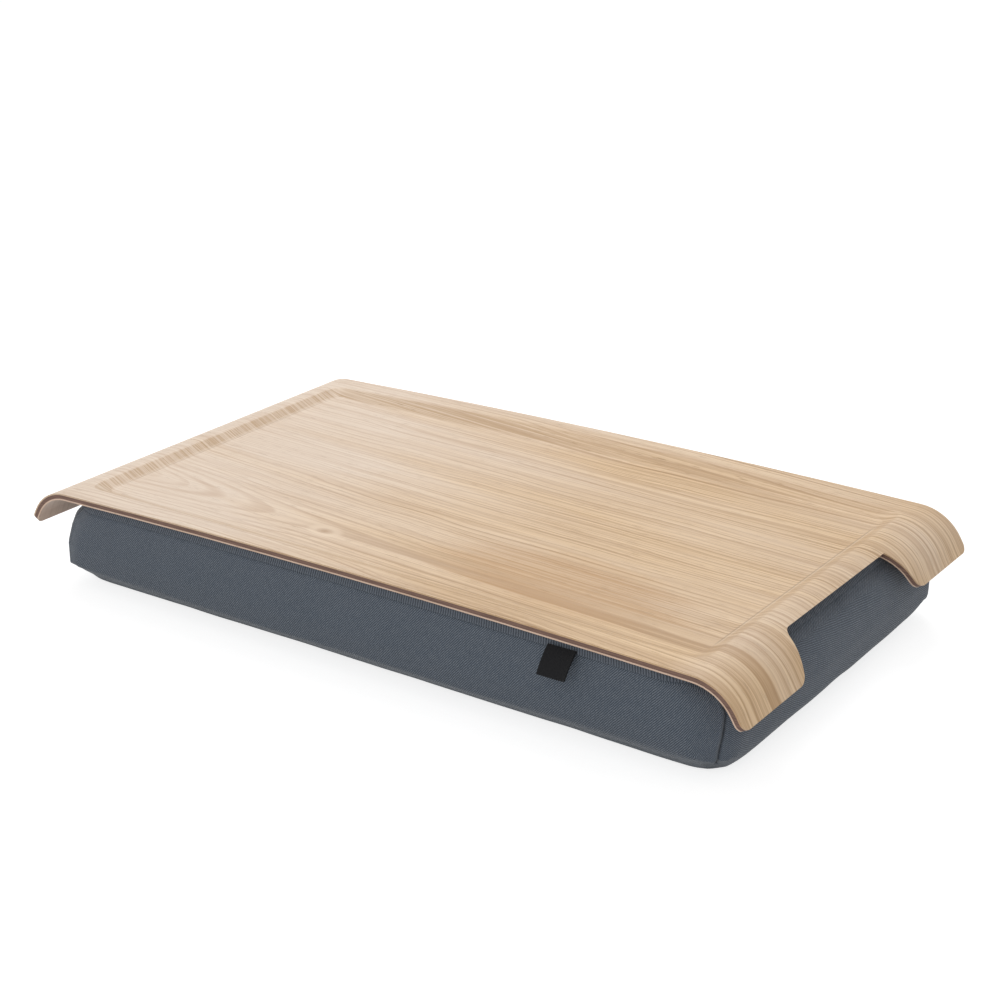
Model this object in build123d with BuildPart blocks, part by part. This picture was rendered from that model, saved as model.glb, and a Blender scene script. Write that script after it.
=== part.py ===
from build123d import *
from math import asin, cos, degrees, radians, sin, tan
import os

# Lap tray with a cushion. X runs along the tray, -Y is the front with the label tab, +Z is up.
# The origin is the middle of the flat under the cushion.

# The tray as a whole
tray_length = 460.0
tray_width = 252.0
tray_height = 62.0
edge_crown_radius = 7700.0

# The curled ends, measured on the face side
curl_radius = 28.5
lip_angle = 60.0
lip_straight = 8.0

# The plies of the moulded laminate
face_ply = 0.8
core_ply = 2.2
back_ply = 0.8
tray_wall = face_ply + core_ply + back_ply

# The recessed floor and the step around it
floor_depth = 6.5
floor_end_margin = 38.5
floor_side_margin = 24.5
step_corner_radius = 20.0
step_angle = 26.0
step_foot_radius = 10.0
step_brow_radius = 6.0

# The hand notch, measured up the lip from its edge
notch_height = 25.3
notch_top_width = 112.0
notch_mouth_width = 131.0
notch_top_corner = 7.0
notch_horn_corner = 8.0
horn_outer_corner = 5.0

# Cuts run past what they cut by this much
overrun = 12.0

# Running and resting gaps
soft_gap = 0.3
slide_gap = 0.3

# The cushion, as wide as the tray, and the most that its sides draw in
cushion_end_margin = 9.0
cushion_corner = 26.0
cushion_bow = 2.0
cushion_top = 60.0
cushion_flat_cut = 0.5
cushion_inset = 22.0

# Shares of the cushion's height, and there of its inset at the ends and at the long sides
form_shares = (
    (0.0, 1.05, 1.05),
    (0.12, 0.37, 0.37),
    (0.25, 0.09, 0.09),
    (0.43, 0.0, 0.0),
    (0.62, 0.09, 0.03),
    (0.80, 0.46, 0.08),
    (1.0, 0.85, 0.14),
)

# The cover, its seams and its hem
cover_cloth = 1.2
top_panel_drop = 12.9
bottom_seam_height = 6.0
corner_seam_angle = 40.0
hem_cloth = 3.0
hem_height = 5.2

# The bag inside the cover
bag_cloth = 0.6

# Hook and loop tape between the tray and the cushion
fixing_end_margin = 11.5
fixing_width = 25.0
fixing_spacing = 250.0
hook_thickness = 1.4

# The label tab at the front hem
label_end_margin = 89.0
label_width = 16.2
label_drop = 15.5
label_fold = 1.1
label_round = 0.4
label_lean = 22.0

# The zip in the back panel
zip_height = 31.0
zip_end_margin = 90.0
zip_slot_height = 10.0
zip_slot_corner = 2.0
zip_set_in = 3.7
zip_bay_margin = 2.0
tape_width = 12.5
tape_thickness = 0.8
tape_tail = 6.0
coil_width = 2.2
coil_thickness = 2.0
coil_round = 0.8
coil_split = 1.1
stop_length = 3.0

# The slider on the zip, with its two plates and the bar for the pull
slider_length = 11.0
slider_height = 8.4
slider_corner = 2.0
slider_plate = 1.1
slider_post = 0.5
slider_post_length = 3.0
bar_radius = 0.7
bar_gap = 0.25
ear_thickness = 1.0
ear_radius = 1.6

# The pull, an eye around the bar and a flat tab with a hole
eye_wall = 0.9
eye_width = 3.4
neck_length = 4.0
pull_length = 21.0
pull_width = 6.4
pull_thickness = 1.2
pull_hole_radius = 1.4
pull_corner = 2.0

# Places worked out from the sizes above
lip_tilt = radians(lip_angle)
tip_x = tray_length / 2
curl_x = tip_x - curl_radius * sin(lip_tilt) - lip_straight * cos(lip_tilt)
curl_start = asin(curl_x / (edge_crown_radius - curl_radius))
crown_z = tray_height - edge_crown_radius
curl_z = crown_z + (edge_crown_radius - curl_radius) * cos(curl_start)
tip_z = curl_z + curl_radius * cos(lip_tilt) - lip_straight * sin(lip_tilt)
floor_length = tray_length - 2 * floor_end_margin
floor_width = tray_width - 2 * floor_side_margin
floor_top = tray_height - floor_depth
floor_under = floor_top - tray_wall
cushion_length = tray_length - 2 * cushion_end_margin
cushion_width = tray_width
fixing_length = floor_width - 2 * fixing_end_margin
label_place = cushion_length / 2 - label_end_margin
zip_slot_length = cushion_length - 2 * zip_end_margin
top_panel_z = tray_height - top_panel_drop
loop_thickness = floor_under - hook_thickness - top_panel_z
side_top_z = top_panel_z - cover_cloth
hem_line_depth = tray_wall + soft_gap + hem_height
zip_face_y = cushion_width / 2 - zip_set_in
zip_back_y = zip_face_y - tape_thickness - slide_gap - slider_plate
slider_face_y = zip_face_y + coil_thickness + slide_gap + slider_plate
eye_radius = bar_radius + bar_gap + eye_wall
bar_y = slider_face_y + slide_gap + eye_radius
slider_x = -(zip_slot_length / 2 - stop_length - slider_length / 2 - slide_gap)


def laminate_section(depth):
    """The space under the tray's face before the floor is pressed in, taken depth further in."""
    core_radius = curl_radius - tray_wall - overrun
    lip_run = lip_straight + overrun
    along = Vector(cos(lip_tilt), -sin(lip_tilt))
    outward = Vector(sin(lip_tilt), cos(lip_tilt))
    centre = Vector(curl_x, curl_z)
    with BuildPart() as section:
        with BuildSketch(Plane.XZ):
            with BuildLine():
                CenterArc(
                    (0, crown_z),
                    edge_crown_radius - depth,
                    90 - degrees(curl_start),
                    2 * degrees(curl_start),
                )
                curl = CenterArc(
                    (curl_x, curl_z),
                    curl_radius - depth,
                    90 - degrees(curl_start),
                    degrees(curl_start) - lip_angle,
                )
                face_end = centre + outward * (curl_radius - depth) + along * lip_run
                inner_end = centre + outward * core_radius + along * lip_run
                lip = Line(curl @ 1, face_end)
                edge = Line(lip @ 1, inner_end)
                base = Line(edge @ 1, (0, inner_end.Y))
                mirror([curl, lip, edge, base], about=Plane.YZ)
            make_face()
        extrude(amount=tray_width / 2, both=True)
    return section.part


def pressed_space(depth):
    """The same space with the recessed floor pressed in, and its step rounded at foot and brow."""
    shrink = depth * tan(radians(step_angle) / 2)
    with BuildPart() as recess:
        with BuildSketch(Plane.XY.offset(floor_top - depth)):
            Rectangle(floor_length - 2 * shrink, floor_width - 2 * shrink)
        extrude(amount=floor_depth + depth + overrun, taper=step_angle - 90)
        fillet(recess.edges().group_by(Axis.Z)[1], step_corner_radius + depth)
        foot = recess.faces().sort_by(Axis.Z)[0].edges()
        fillet(foot, step_foot_radius + depth)
    with BuildPart() as space:
        add(laminate_section(depth))
        add(recess.part, mode=Mode.SUBTRACT)
        rim = space.faces().filter_by(GeomType.CYLINDER).sort_by(SortBy.AREA)[-1]
        fillet(rim.inner_wires()[0].edges(), step_brow_radius - depth)
    return space.part


# The cutter for both ends: what lies past the lips' edges, and the hand notches between rounded horns
lip_plane = Plane(
    origin=(tip_x, 0, tip_z),
    x_dir=(0, 1, 0),
    z_dir=(sin(lip_tilt), 0, cos(lip_tilt)),
)
lip_reach = notch_height + tray_wall
with BuildPart() as ends_cutter:
    with BuildSketch(lip_plane):
        with Locations((0, (lip_reach - overrun) / 2)):
            Rectangle(tray_width + 2 * overrun, lip_reach + overrun)
        with BuildSketch(mode=Mode.SUBTRACT) as horns:
            with Locations((0, lip_reach / 2)):
                Rectangle(tray_width, lip_reach)
            with BuildLine():
                Polyline(
                    (-notch_mouth_width / 2, 0),
                    (notch_mouth_width / 2, 0),
                    (notch_top_width / 2, notch_height),
                    (-notch_top_width / 2, notch_height),
                    close=True,
                )
            make_face(mode=Mode.SUBTRACT)
            outer_corners = horns.vertices().group_by(Axis.Y)[0].sort_by(Axis.X)
            fillet([outer_corners[0], outer_corners[-1]], horn_outer_corner)
            inner_corners = horns.vertices().group_by(Axis.Y)[0].sort_by(Axis.X)[1:-1]
            fillet(inner_corners, notch_horn_corner)
            fillet(horns.vertices().filter_by_position(Axis.Y, notch_height, notch_height), notch_top_corner)
    extrude(amount=overrun, both=True)
    mirror(about=Plane.YZ)

# The three plies, each the space between two depths, cut to the same outline
face_space = pressed_space(0)
core_space = pressed_space(face_ply)
back_space = pressed_space(face_ply + core_ply)
under_space = pressed_space(tray_wall)

with BuildPart() as tray_top_veneer:
    add(face_space)
    add(core_space, mode=Mode.SUBTRACT)
    add(ends_cutter.part, mode=Mode.SUBTRACT)

with BuildPart() as tray_core:
    add(core_space)
    add(back_space, mode=Mode.SUBTRACT)
    add(ends_cutter.part, mode=Mode.SUBTRACT)

with BuildPart() as tray_bottom_veneer:
    add(back_space)
    add(under_space, mode=Mode.SUBTRACT)
    add(ends_cutter.part, mode=Mode.SUBTRACT)


def fixing_strip(side, height, thickness):
    """One strip of hook or loop tape, side -1 or 1 of the middle, from height up by thickness."""
    with BuildPart() as strip:
        with BuildSketch(Plane.XY.offset(height)):
            with Locations((side * fixing_spacing / 2, 0)):
                Rectangle(fixing_width, fixing_length)
        extrude(amount=thickness)
    return strip


# Hook tape glued under the tray, loop tape sewn on the cover below it
hook_strip_left = fixing_strip(-1, floor_under - hook_thickness, hook_thickness)
hook_strip_right = fixing_strip(1, floor_under - hook_thickness, hook_thickness)
loop_strip_left = fixing_strip(-1, top_panel_z, loop_thickness)
loop_strip_right = fixing_strip(1, top_panel_z, loop_thickness)


def cushion_form(inset):
    """The stuffed form, widest low down and drawn in above and below, with sides and base inset."""
    base = inset - cushion_flat_cut
    with BuildPart() as form:
        for height_share, end_share, side_share in form_shares:
            height = base + height_share * (cushion_top - base)
            half_length = cushion_length / 2 - end_share * cushion_inset - inset
            half_width = cushion_width / 2 - side_share * cushion_inset - inset
            corner_x = half_length - cushion_bow
            corner_y = half_width - cushion_bow
            with BuildSketch(Plane.XY.offset(height)) as outline:
                with BuildLine():
                    ThreePointArc((-corner_x, -corner_y), (0, -half_width), (corner_x, -corner_y))
                    ThreePointArc((corner_x, -corner_y), (half_length, 0), (corner_x, corner_y))
                    ThreePointArc((corner_x, corner_y), (0, half_width), (-corner_x, corner_y))
                    ThreePointArc((-corner_x, corner_y), (-half_length, 0), (-corner_x, -corner_y))
                make_face()
                fillet(outline.vertices(), cushion_corner - inset)
        loft(ruled=True)
    return form.part


def above_cushion(depth):
    """What lies above the tray's face taken depth further in, from the cover's top panel upwards."""
    with BuildPart() as space:
        with BuildSketch(Plane.XY.offset(top_panel_z)):
            Rectangle(tray_length, tray_width + 2 * overrun)
        extrude(amount=tray_height - top_panel_z + overrun)
        add(laminate_section(depth), mode=Mode.SUBTRACT)
    return space.part


cover_outside = cushion_form(0)
cover_inside = cushion_form(cover_cloth)
hem_space = above_cushion(hem_line_depth)
seam_reach = cushion_length
seam_tilt = radians(corner_seam_angle)
seam_x = cushion_length / 2 - cushion_corner
seam_y = cushion_width / 2 - cushion_corner

# The boxing all round, between the bottom seam and the hem line, before it is cut at the corner seams
with BuildPart() as boxing:
    add(cover_outside)
    add(cover_inside, mode=Mode.SUBTRACT)
    split(bisect_by=Plane.XY.offset(bottom_seam_height), keep=Keep.TOP)
    add(hem_space, mode=Mode.SUBTRACT)

# The sector of the front panel, seen from above, between the two front corner seams
with BuildPart() as front_sector:
    with BuildSketch():
        with BuildLine():
            Polyline(
                (-seam_x, -seam_y),
                (-seam_x - seam_reach * cos(seam_tilt), -seam_y - seam_reach * sin(seam_tilt)),
                (seam_x + seam_reach * cos(seam_tilt), -seam_y - seam_reach * sin(seam_tilt)),
                (seam_x, -seam_y),
                close=True,
            )
        make_face()
    extrude(amount=cushion_top)

with BuildPart() as back_sector:
    mirror(front_sector.part, about=Plane.XZ)

with BuildPart() as cover_front_panel:
    add(boxing.part)
    add(front_sector.part, mode=Mode.INTERSECT)

# The back panel has the slot that the zip closes
with BuildPart() as cover_back_panel:
    add(boxing.part)
    add(back_sector.part, mode=Mode.INTERSECT)
    with BuildSketch(Plane.XZ.offset(-zip_back_y)):
        with Locations((0, zip_height)):
            RectangleRounded(zip_slot_length, zip_slot_height, zip_slot_corner)
    extrude(amount=-overrun, mode=Mode.SUBTRACT)

with BuildPart() as cover_left_end:
    add(boxing.part)
    add(front_sector.part, mode=Mode.SUBTRACT)
    add(back_sector.part, mode=Mode.SUBTRACT)
    split(bisect_by=Plane.YZ, keep=Keep.BOTTOM)

with BuildPart() as cover_right_end:
    mirror(cover_left_end.part, about=Plane.YZ)

# The bottom panel curves down from its seam to a shallow crown, flat where the cushion stands
with BuildPart() as cover_bottom_panel:
    add(cover_outside)
    add(cover_inside, mode=Mode.SUBTRACT)
    split(bisect_by=Plane.XY.offset(bottom_seam_height), keep=Keep.BOTTOM)
    split(bisect_by=Plane.XY, keep=Keep.TOP)

with BuildPart() as cover_top_panel:
    add(cover_inside)
    split(bisect_by=Plane.XY.offset(top_panel_z), keep=Keep.BOTTOM)
    split(bisect_by=Plane.XY.offset(side_top_z), keep=Keep.TOP)

# The hem is the cover's folded edge, gathered all round, and follows the arched edge of the tray
with BuildPart() as hem_band:
    add(cover_outside)
    add(cushion_form(hem_cloth), mode=Mode.SUBTRACT)
    add(hem_space, mode=Mode.INTERSECT)
    add(above_cushion(tray_wall + soft_gap), mode=Mode.SUBTRACT)

# The bay in the bag that leaves room for the zip and the back plate of its slider
bay_length = zip_slot_length + 2 * (tape_tail + zip_bay_margin)
bay_height = 2 * tape_width + coil_split + 2 * zip_bay_margin


def zip_bay(depth):
    """The bay behind the zip, taken depth further in on every side."""
    with BuildPart() as bay:
        with BuildSketch(Plane.XZ.offset(-(zip_back_y - soft_gap - depth))):
            with Locations((0, zip_height)):
                Rectangle(bay_length + 2 * depth, bay_height + 2 * depth)
        extrude(amount=-overrun)
    return bay.part


with BuildPart() as bead_filling:
    add(cushion_form(cover_cloth + soft_gap + bag_cloth))
    split(bisect_by=Plane.XY.offset(side_top_z - soft_gap - bag_cloth), keep=Keep.BOTTOM)
    add(zip_bay(bag_cloth), mode=Mode.SUBTRACT)

with BuildPart() as inner_bag:
    add(cushion_form(cover_cloth + soft_gap))
    split(bisect_by=Plane.XY.offset(side_top_z - soft_gap), keep=Keep.BOTTOM)
    add(zip_bay(0), mode=Mode.SUBTRACT)
    add(bead_filling.part, mode=Mode.SUBTRACT)

# The label tab, a folded ribbon caught in the front hem seam, leaning out at the bottom
label_bow = cushion_bow * (label_place / (cushion_length / 2)) ** 2
label_inset = form_shares[-2][2] * cushion_inset
label_top_y = label_inset + label_bow - cushion_width / 2 - soft_gap
label_top_z = crown_z + (edge_crown_radius - hem_line_depth) * cos(asin(label_place / edge_crown_radius))
with BuildPart() as label_tab:
    with BuildSketch(
        Plane(
            origin=(label_place, label_top_y, label_top_z),
            x_dir=(1, 0, 0),
            z_dir=(0, -cos(radians(label_lean)), sin(radians(label_lean))),
        )
    ):
        with Locations((0, -label_drop / 2)):
            Rectangle(label_width, label_drop)
    extrude(amount=label_fold)
    fillet(label_tab.edges().filter_by(Axis.X).sort_by(Axis.Z)[:2], label_round)

# The zip's two tapes lie behind the slot, each with its coil along the edge
with BuildPart() as zip_tape_upper:
    with BuildSketch(Plane.XZ.offset(-zip_face_y)):
        with Locations((0, zip_height + coil_split / 2 + tape_width / 2)):
            Rectangle(zip_slot_length + 2 * tape_tail, tape_width)
    extrude(amount=tape_thickness)

with BuildPart() as zip_coil_upper:
    with BuildSketch(Plane.XZ.offset(-zip_face_y)):
        with Locations((0, zip_height + coil_split / 2 + coil_width / 2)):
            Rectangle(zip_slot_length, coil_width)
    extrude(amount=-coil_thickness)
    fillet(zip_coil_upper.edges().filter_by(Axis.X).group_by(Axis.Y)[-1], coil_round)

zip_line = Plane.XY.offset(zip_height)
with BuildPart() as zip_tape_lower:
    mirror(zip_tape_upper.part, about=zip_line)

with BuildPart() as zip_coil_lower:
    mirror(zip_coil_upper.part, about=zip_line)

# A stop bridges both coils beyond each end of the slider's travel
with BuildPart() as zip_stops:
    with BuildSketch(Plane.XZ.offset(-zip_face_y - coil_thickness)):
        with Locations(
            (zip_slot_length / 2 - stop_length / 2, zip_height),
            (-zip_slot_length / 2 + stop_length / 2, zip_height),
        ):
            Rectangle(stop_length, coil_split + 2 * coil_width)
    extrude(amount=-slider_plate)

# The slider: a front plate with side flanges, a back plate, and the post between the coils
flange_gap = coil_split / 2 + coil_width + slide_gap
with BuildPart() as zip_slider:
    with BuildSketch(Plane.XZ.offset(-zip_face_y - slide_gap)):
        with Locations((slider_x, zip_height)):
            RectangleRounded(slider_length, slider_height, slider_corner)
    extrude(amount=-(slider_face_y - zip_face_y - slide_gap))
    with BuildSketch(Plane.XZ.offset(-zip_face_y - slide_gap)):
        with Locations((slider_x, zip_height)):
            Rectangle(slider_length, 2 * flange_gap)
    extrude(amount=-coil_thickness, mode=Mode.SUBTRACT)
    with BuildSketch(Plane.XZ.offset(-zip_back_y)):
        with Locations((slider_x, zip_height)):
            RectangleRounded(slider_length, slider_height, slider_corner)
    extrude(amount=-slider_plate)
    with BuildSketch(Plane.XZ.offset(-zip_back_y - slider_plate)):
        with Locations((slider_x, zip_height)):
            Rectangle(slider_post_length, slider_post)
    extrude(amount=-(slider_face_y - slider_plate - zip_back_y - slider_plate))
    ear_foot = slider_face_y - slider_plate / 2
    with BuildSketch(
        Plane.XY.offset(zip_height + eye_width / 2 + slide_gap),
        Plane.XY.offset(zip_height - eye_width / 2 - slide_gap - ear_thickness),
    ):
        with Locations((slider_x, bar_y)):
            Circle(ear_radius)
        with Locations((slider_x, (bar_y + ear_foot) / 2)):
            Rectangle(2 * ear_radius, bar_y - ear_foot)
    extrude(amount=ear_thickness)
    with BuildSketch(zip_line):
        with Locations((slider_x, bar_y)):
            Circle(bar_radius)
    extrude(amount=eye_width / 2 + slide_gap + ear_thickness / 2, both=True)

# The pull lies along the zip, its eye around the slider's bar
pull_start = slider_x + neck_length
pull_hole_x = pull_start + pull_length - pull_width / 2
with BuildPart() as zip_pull:
    with BuildSketch(Plane.XZ.offset(-bar_y)):
        with Locations((pull_start + pull_length / 2, zip_height)):
            RectangleRounded(pull_length, pull_width, pull_corner)
        with Locations((slider_x + neck_length, zip_height)):
            Rectangle(2 * (neck_length - eye_radius + eye_wall / 2), eye_width)
        with Locations((pull_hole_x, zip_height)):
            Circle(pull_hole_radius, mode=Mode.SUBTRACT)
    extrude(amount=pull_thickness / 2, both=True)
    with BuildSketch(zip_line):
        with Locations((slider_x, bar_y)):
            Circle(eye_radius)
            Circle(bar_radius + bar_gap, mode=Mode.SUBTRACT)
    extrude(amount=eye_width / 2, both=True)

tray_top_veneer.part.label = "tray_top_veneer"
tray_core.part.label = "tray_core"
tray_bottom_veneer.part.label = "tray_bottom_veneer"
hook_strip_left.part.label = "hook_strip_left"
hook_strip_right.part.label = "hook_strip_right"
loop_strip_left.part.label = "loop_strip_left"
loop_strip_right.part.label = "loop_strip_right"
hem_band.part.label = "hem_band"
cover_front_panel.part.label = "cover_front_panel"
cover_back_panel.part.label = "cover_back_panel"
cover_left_end.part.label = "cover_left_end"
cover_right_end.part.label = "cover_right_end"
cover_bottom_panel.part.label = "cover_bottom_panel"
cover_top_panel.part.label = "cover_top_panel"
inner_bag.part.label = "inner_bag"
bead_filling.part.label = "bead_filling"
label_tab.part.label = "label_tab"
zip_tape_upper.part.label = "zip_tape_upper"
zip_tape_lower.part.label = "zip_tape_lower"
zip_coil_upper.part.label = "zip_coil_upper"
zip_coil_lower.part.label = "zip_coil_lower"
zip_stops.part.label = "zip_stops"
zip_slider.part.label = "zip_slider"
zip_pull.part.label = "zip_pull"

os.makedirs("parts", exist_ok=True)
export_step(tray_top_veneer.part, "parts/tray_top_veneer.step")
export_step(tray_core.part, "parts/tray_core.step")
export_step(tray_bottom_veneer.part, "parts/tray_bottom_veneer.step")
export_step(hook_strip_left.part, "parts/hook_strip_left.step")
export_step(hook_strip_right.part, "parts/hook_strip_right.step")
export_step(loop_strip_left.part, "parts/loop_strip_left.step")
export_step(loop_strip_right.part, "parts/loop_strip_right.step")
export_step(hem_band.part, "parts/hem_band.step")
export_step(cover_front_panel.part, "parts/cover_front_panel.step")
export_step(cover_back_panel.part, "parts/cover_back_panel.step")
export_step(cover_left_end.part, "parts/cover_left_end.step")
export_step(cover_right_end.part, "parts/cover_right_end.step")
export_step(cover_bottom_panel.part, "parts/cover_bottom_panel.step")
export_step(cover_top_panel.part, "parts/cover_top_panel.step")
export_step(inner_bag.part, "parts/inner_bag.step")
export_step(bead_filling.part, "parts/bead_filling.step")
export_step(label_tab.part, "parts/label_tab.step")
export_step(zip_tape_upper.part, "parts/zip_tape_upper.step")
export_step(zip_tape_lower.part, "parts/zip_tape_lower.step")
export_step(zip_coil_upper.part, "parts/zip_coil_upper.step")
export_step(zip_coil_lower.part, "parts/zip_coil_lower.step")
export_step(zip_stops.part, "parts/zip_stops.step")
export_step(zip_slider.part, "parts/zip_slider.step")
export_step(zip_pull.part, "parts/zip_pull.step")
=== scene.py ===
import math

import bpy
import numpy as np
from mathutils import Matrix, Vector, noise


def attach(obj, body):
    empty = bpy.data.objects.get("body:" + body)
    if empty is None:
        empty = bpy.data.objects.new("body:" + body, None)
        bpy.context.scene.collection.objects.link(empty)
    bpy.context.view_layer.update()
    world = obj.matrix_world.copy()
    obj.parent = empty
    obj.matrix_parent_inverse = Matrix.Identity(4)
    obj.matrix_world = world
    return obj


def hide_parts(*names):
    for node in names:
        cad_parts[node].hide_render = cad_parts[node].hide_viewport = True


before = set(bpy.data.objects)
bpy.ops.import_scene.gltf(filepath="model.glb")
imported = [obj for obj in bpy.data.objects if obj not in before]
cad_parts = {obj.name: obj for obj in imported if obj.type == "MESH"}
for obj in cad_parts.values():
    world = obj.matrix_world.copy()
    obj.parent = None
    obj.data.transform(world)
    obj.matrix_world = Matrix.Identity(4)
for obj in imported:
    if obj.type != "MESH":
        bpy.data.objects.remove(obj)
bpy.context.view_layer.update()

scene = bpy.context.scene
scene.view_settings.view_transform = "Standard"
bpy.ops.object.select_all(action="DESELECT")

# The camera
# It looks down at the tray from the front right through a long lens, at about a metre. Turn, rise and roll
# are those of the photograph.
camera_turn = math.radians(35.23)
camera_rise = math.radians(21.39)
camera_roll = math.radians(-0.56)
camera_target = Vector((0.0088, 0.0, 0.0607))
camera_distance = 1.0726
camera_lens = 70.05

towards_camera = Vector((
    math.sin(camera_turn) * math.cos(camera_rise),
    -math.cos(camera_turn) * math.cos(camera_rise),
    math.sin(camera_rise),
))
level_right = Vector((math.cos(camera_turn), math.sin(camera_turn), 0))
level_up = towards_camera.cross(level_right)
camera_right = math.cos(camera_roll) * level_right + math.sin(camera_roll) * level_up
camera_up = towards_camera.cross(camera_right)


def new_piece(add, name, **settings):
    """Adds a piece in its first, plain shape with nothing else selected, and names it."""
    bpy.ops.object.select_all(action="DESELECT")
    add(**settings)
    made = bpy.context.object
    made.name = name
    return made


camera = new_piece(bpy.ops.object.camera_add, "camera")
camera.data.sensor_width = 36
camera.data.lens = camera_lens
camera.data.clip_start = 0.01
camera_axes = Matrix((camera_right, camera_up, towards_camera)).transposed().to_4x4()
camera.matrix_world = Matrix.Translation(camera_target + camera_distance * towards_camera) @ camera_axes
scene.camera = camera

# The studio
# A plain pale floor, even light from all round, one big soft lamp overhead and behind, and a weak
# one from the front right.


def place_node(tree, kind, settings=None, **sockets):
    """Adds a node, gives it its settings, and sets or joins the sockets that are named."""
    made = tree.nodes.new(kind)
    for setting, value in (settings or {}).items():
        setattr(made, setting, value)
    for socket, value in sockets.items():
        wire(tree, value, made.inputs[socket.replace("_", " ")])
    return made


def wire(tree, value, socket):
    """Joins value to the socket if it is another node's socket, and otherwise sets the number there."""
    if isinstance(value, bpy.types.NodeSocket):
        tree.links.new(value, socket)
    else:
        socket.default_value = value


def reckon(tree, operation, *values, clamp=False):
    """A sum on numbers or sockets."""
    made = tree.nodes.new("ShaderNodeMath")
    made.operation = operation
    made.use_clamp = clamp
    for socket, value in zip(made.inputs, values):
        wire(tree, value, socket)
    return made.outputs[0]


def seen(tree):
    """1 where the eye meets a surface, straight or in a reflection, and 0 for the light it gives off."""
    ray = place_node(tree, "ShaderNodeLightPath").outputs
    reflected = reckon(tree, "MAXIMUM", ray["Is Glossy Ray"], ray["Is Transmission Ray"])
    return reckon(tree, "MAXIMUM", ray["Is Camera Ray"], reflected)


def material_with_nodes(name):
    """An empty material and its tree of nodes."""
    made = bpy.data.materials.new(name)
    made.use_nodes = True
    made.node_tree.nodes.clear()
    return made, made.node_tree


even_light = bpy.data.worlds.new("even_light")
even_light.use_nodes = True
sky = even_light.node_tree
sky.nodes.clear()
sky_strength = reckon(sky, "MULTIPLY_ADD", seen(sky), 0.50, 0.50)
sky_glow = place_node(sky, "ShaderNodeBackground", Color=(1, 1, 1, 1), Strength=sky_strength)
sky.links.new(sky_glow.outputs[0], place_node(sky, "ShaderNodeOutputWorld").inputs["Surface"])
scene.world = even_light

floor = new_piece(bpy.ops.mesh.primitive_plane_add, "studio_floor", size=30)
floor_paint, tree = material_with_nodes("pale_floor")
bounce = place_node(tree, "ShaderNodeBsdfDiffuse", Color=(0.82, 0.82, 0.82, 1))
shown = place_node(tree, "ShaderNodeBsdfDiffuse", Color=(0.5, 0.5, 0.5, 1))
lift = place_node(tree, "ShaderNodeEmission", Color=(1, 1, 1, 1), Strength=0.77)
white_with_shadow = place_node(tree, "ShaderNodeAddShader")
floor_mix = place_node(tree, "ShaderNodeMixShader", Fac=seen(tree))
for part, socket in (
    (shown, white_with_shadow.inputs[0]),
    (lift, white_with_shadow.inputs[1]),
    (bounce, floor_mix.inputs[1]),
    (white_with_shadow, floor_mix.inputs[2]),
    (floor_mix, tree.nodes.new("ShaderNodeOutputMaterial").inputs["Surface"]),
):
    tree.links.new(part.outputs[0], socket)
floor.data.materials.append(floor_paint)


def soft_lamp(name, place, size, watts):
    """A square soft lamp that looks at the middle of the tray."""
    lamp = new_piece(bpy.ops.object.light_add, name, type="AREA", location=place)
    lamp.data.size = size
    lamp.data.energy = watts
    lamp.rotation_euler = (Vector(place) - camera_target).to_track_quat("Z", "Y").to_euler()


soft_lamp("overhead_lamp", (-0.55, 0.65, 1.4), 1.2, 11.0)
soft_lamp("front_lamp", (0.5, -1.6, 0.9), 1.0, 7.5)

# The tray's laminate
# Three sliced veneers pressed over a mould: a pale face with a lively flat-cut figure, a dark core twice
# as thick, and a plain pale back. The figure follows the sheet over the curls and is cut at a slight angle.
curl_centre_x = 0.20132
curl_centre_z = 0.03086
curl_radius = 0.0285
grain_turn = math.radians(3.5)
floor_half_length = 0.1915


def times(tree, first, second):
    """The first times the second."""
    return reckon(tree, "MULTIPLY", first, second)


def scaled(tree, value, factor, start):
    """A value times a factor, on top of a start."""
    return reckon(tree, "MULTIPLY_ADD", value, factor, start)


def plus(tree, first, second):
    """The first and the second together."""
    return reckon(tree, "ADD", first, second)


def minus(tree, first, second):
    """The first less the second."""
    return reckon(tree, "SUBTRACT", first, second)


def colour_mix(tree, share, first, second):
    """One colour blended into another by a share."""
    made = tree.nodes.new("ShaderNodeMix")
    made.data_type = "RGBA"
    wire(tree, share, made.inputs[0])
    wire(tree, first, made.inputs[6])
    wire(tree, second, made.inputs[7])
    return made.outputs[2]


def tinted(tree, colour, *tints):
    """A colour with others laid over it in turn, each by its share."""
    for share, tint in tints:
        colour = colour_mix(tree, share, colour, tint)
    return colour


def fade(tree, value, start, end, low=0.0, high=1.0):
    """A smooth step from low to high while value goes from start to end."""
    made = place_node(tree, "ShaderNodeMapRange", {"interpolation_type": "SMOOTHSTEP"})
    for socket, setting in zip(made.inputs, (value, start, end, low, high)):
        wire(tree, setting, socket)
    return made.outputs[0]


def streaks(tree, along, across, along_scale, across_scale, detail=2.0, offset=0.0):
    """Noise drawn out along the sheet, from 0 to 1."""
    point = place_node(
        tree,
        "ShaderNodeCombineXYZ",
        X=scaled(tree, along, along_scale, offset),
        Y=times(tree, across, across_scale),
    )
    return place_node(
        tree, "ShaderNodeTexNoise", Vector=point.outputs[0], Scale=1.0, Detail=detail, Roughness=0.55
    ).outputs[0]


def place_parts(tree, kind="Object"):
    """X, Y and Z of the place on the piece, or of its normal."""
    place = place_node(tree, "ShaderNodeTexCoord").outputs[kind]
    return place_node(tree, "ShaderNodeSeparateXYZ", Vector=place).outputs


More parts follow.
